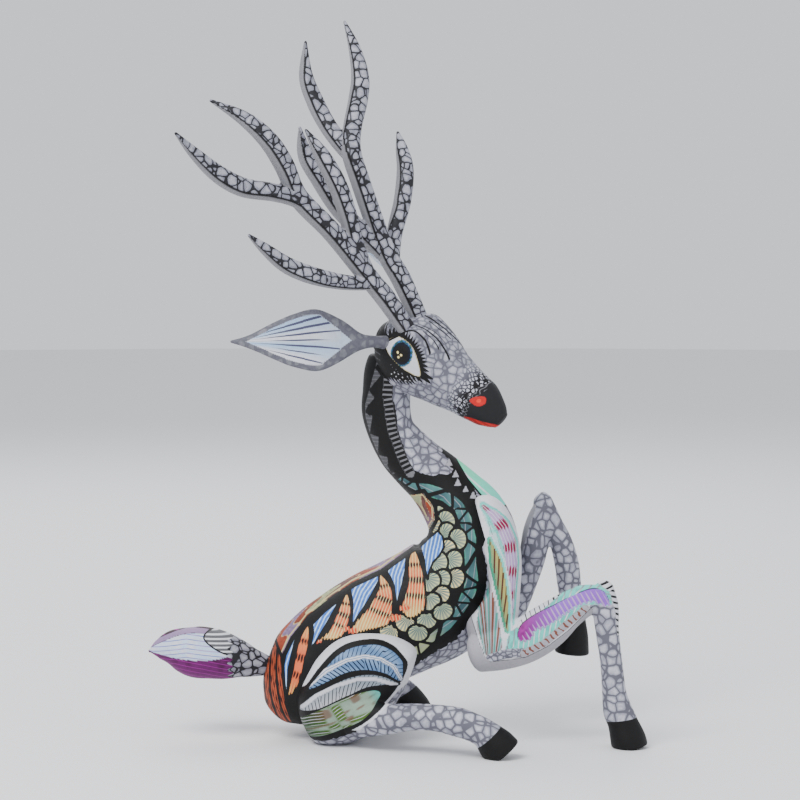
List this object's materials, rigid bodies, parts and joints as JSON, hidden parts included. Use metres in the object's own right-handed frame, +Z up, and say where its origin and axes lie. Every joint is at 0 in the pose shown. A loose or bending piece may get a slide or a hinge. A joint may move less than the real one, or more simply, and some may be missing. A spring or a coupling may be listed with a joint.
{
  "type": "carved wooden deer figure",
  "caption": "Carved and hand-painted wooden deer sitting on its haunches with a foreleg raised; its branched antlers, ears and tail plug into the body.",
  "frame": {"origin": "under the middle of the figure, on the surface it stands on", "axes": "+X the way the deer faces, +Y to its left, +Z up"},
  "size_m": [0.1988, 0.1246, 0.2895],
  "materials": {
    "body_paint": "hand-painted acrylic, satin, black ground with feather patterns",
    "face_paint": "hand-painted acrylic, satin, grey pebble pattern",
    "leg_paint": "hand-painted acrylic, satin, grey pebble pattern",
    "antler_paint": "hand-painted acrylic, satin, grey pebble pattern",
    "ear_paint": "hand-painted acrylic, satin, white with grey strokes",
    "tail_paint": "hand-painted acrylic, satin, magenta and grey",
    "bare_wood": "bare whittled copal wood"
  },
  "bodies": {
    "carving": {"torso": "body_paint", "head": "face_paint", "neck_dowel": "bare_wood", "foreleg_right": "leg_paint", "foreleg_left": "leg_paint", "hindleg_right": "leg_paint", "hindleg_left": "leg_paint", "shoulder_dowel_right": "bare_wood", "shoulder_dowel_left": "bare_wood", "hip_dowel_right": "bare_wood", "hip_dowel_left": "bare_wood"},
    "antler_right_plug": {"antler_peg_right": "bare_wood"},
    "antler_right_piece": {"antler_right": "antler_paint"},
    "antler_left_plug": {"antler_peg_left": "bare_wood"},
    "antler_left_piece": {"antler_left": "antler_paint"},
    "ear_right_plug": {"ear_peg_right": "bare_wood"},
    "ear_right_piece": {"ear_right": "ear_paint"},
    "ear_left_plug": {"ear_peg_left": "bare_wood"},
    "ear_left_piece": {"ear_left": "ear_paint"},
    "tail_plug": {"tail_peg": "bare_wood"},
    "tail_piece": {"tail": "tail_paint"}
  },
  "joints": [
    {"name": "antler_right_pull", "type": "slide", "parent": "carving", "child": "antler_right_plug", "axis": [-0.5425, -0.2325, 0.8073], "range_m": [0, 0.01]},
    {"name": "antler_right_turn", "type": "hinge", "parent": "antler_right_plug", "child": "antler_right_piece", "pos_m": [0.00482, -0.00554, 0.16372], "axis": [-0.5425, -0.2325, 0.8073], "range_deg": [-4, 14]},
    {"name": "antler_left_pull", "type": "slide", "parent": "carving", "child": "antler_left_plug", "axis": [-0.4133, 0.0814, 0.907], "range_m": [0, 0.01]},
    {"name": "antler_left_turn", "type": "hinge", "parent": "antler_left_plug", "child": "antler_left_piece", "pos_m": [0.00966, 0.00246, 0.16728], "axis": [-0.4133, 0.0814, 0.907], "range_deg": [-14, 4]},
    {"name": "ear_right_pull", "type": "slide", "parent": "carving", "child": "ear_right_plug", "axis": [-0.8646, -0.4936, 0.0941], "range_m": [0, 0.01]},
    {"name": "ear_right_turn", "type": "hinge", "parent": "ear_right_plug", "child": "ear_right_piece", "pos_m": [-0.00437, -0.0038, 0.1594], "axis": [-0.8646, -0.4936, 0.0941], "range_deg": [-60, 60]},
    {"name": "ear_left_pull", "type": "slide", "parent": "carving", "child": "ear_left_plug", "axis": [-0.1102, 0.753, 0.6487], "range_m": [0, 0.01]},
    {"name": "ear_left_turn", "type": "hinge", "parent": "ear_left_plug", "child": "ear_left_piece", "pos_m": [0.00492, 0.01155, 0.16623], "axis": [-0.1102, 0.753, 0.6487], "range_deg": [-60, 60]},
    {"name": "tail_pull", "type": "slide", "parent": "carving", "child": "tail_plug", "axis": [-0.9675, -0.1191, 0.2233], "range_m": [0, 0.01]},
    {"name": "tail_turn", "type": "hinge", "parent": "tail_plug", "child": "tail_piece", "pos_m": [-0.0521, 0.004, 0.0285], "axis": [-0.9675, -0.1191, 0.2233], "continuous": true}
  ]
}
